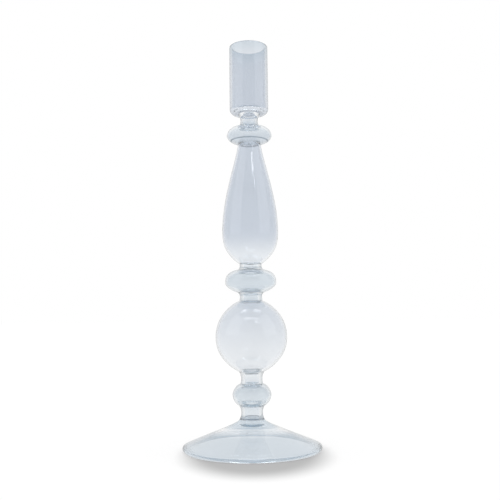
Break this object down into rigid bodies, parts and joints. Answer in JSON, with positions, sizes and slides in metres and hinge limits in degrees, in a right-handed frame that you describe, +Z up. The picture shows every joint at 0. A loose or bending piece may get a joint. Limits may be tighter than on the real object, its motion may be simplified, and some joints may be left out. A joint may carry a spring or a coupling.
{
  "type": "glass candlestick",
  "caption": "Tall clear glass candlestick: hollow round foot, blown bead, ball, ring and teardrop sections on slim necks, and an open cup that holds a dinner candle.",
  "frame": {"origin": "centre of the foot, on the surface that the candlestick stands on", "axes": "+Z up along the stem, towards the candle cup; the object is round about Z, so X and Y are free"},
  "size_m": [0.101, 0.101, 0.3],
  "materials": {
    "foot_glass": "clear, fire-polished, faint blue-grey",
    "neck_glass": "clear, thick-walled, faint blue-grey",
    "bead_glass": "clear, fire-polished",
    "ball_glass": "clear, blown thin, fire-polished",
    "ring_glass": "clear, fire-polished, faint blue-grey",
    "teardrop_glass": "clear, blown thin, fire-polished",
    "cup_glass": "clear, fire-polished, faint blue-grey"
  },
  "bodies": {
    "root": {"foot": "foot_glass", "foot_neck": "neck_glass", "bead": "bead_glass", "ball_lower_neck": "neck_glass", "ball": "ball_glass", "ball_upper_neck": "neck_glass", "lower_ring": "ring_glass", "teardrop_neck": "neck_glass", "teardrop": "teardrop_glass", "upper_ring": "ring_glass", "cup_neck": "neck_glass", "candle_cup": "cup_glass"}
  },
  "joints": []
}
